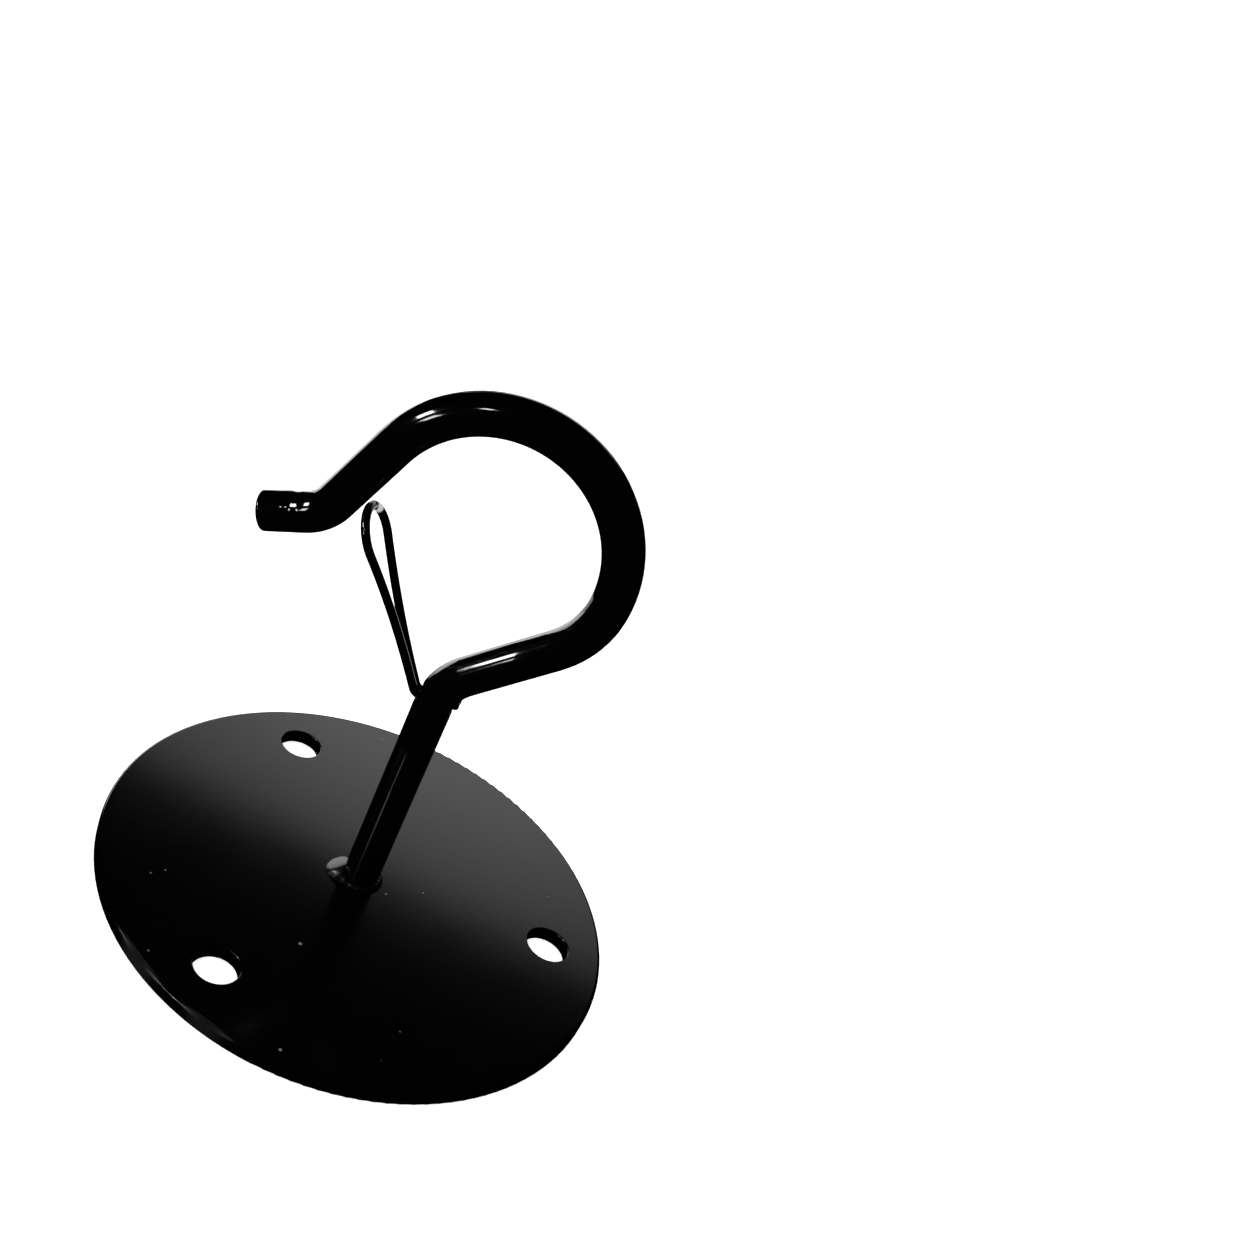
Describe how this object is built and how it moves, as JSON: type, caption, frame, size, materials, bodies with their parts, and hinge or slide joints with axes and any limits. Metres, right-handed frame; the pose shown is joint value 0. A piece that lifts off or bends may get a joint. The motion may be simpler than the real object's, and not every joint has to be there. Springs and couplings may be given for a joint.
{
  "type": "ceiling hook",
  "caption": "Black ceiling hook: a bent round rod welded to a round screw-on plate, with an open eye whose mouth is closed by a sprung wire gate.",
  "frame": {"origin": "centre of the plate's flat back face, on the shank's axis", "axes": "+Z along the shank, away from the ceiling; the rod is bent in the XZ plane with its arm towards +X and its mouth towards -X"},
  "size_m": [0.07, 0.07, 0.0719],
  "materials": {
    "black_coat": "gloss powder coat on steel",
    "black_wire": "gloss black spring wire"
  },
  "bodies": {
    "hook": {"base_plate": "black_coat", "hook_rod": "black_coat", "weld_bead": "black_coat"},
    "gate": {"wire_gate": "black_wire"}
  },
  "joints": [
    {"name": "gate_hinge", "type": "hinge", "parent": "hook", "child": "gate", "pos_m": [0.00008, 0, 0.0331], "axis": [0, 1, 0], "range_deg": [0, 18], "stiffness_Nm_per_rad": 0.005, "springref_deg": -9.74}
  ]
}
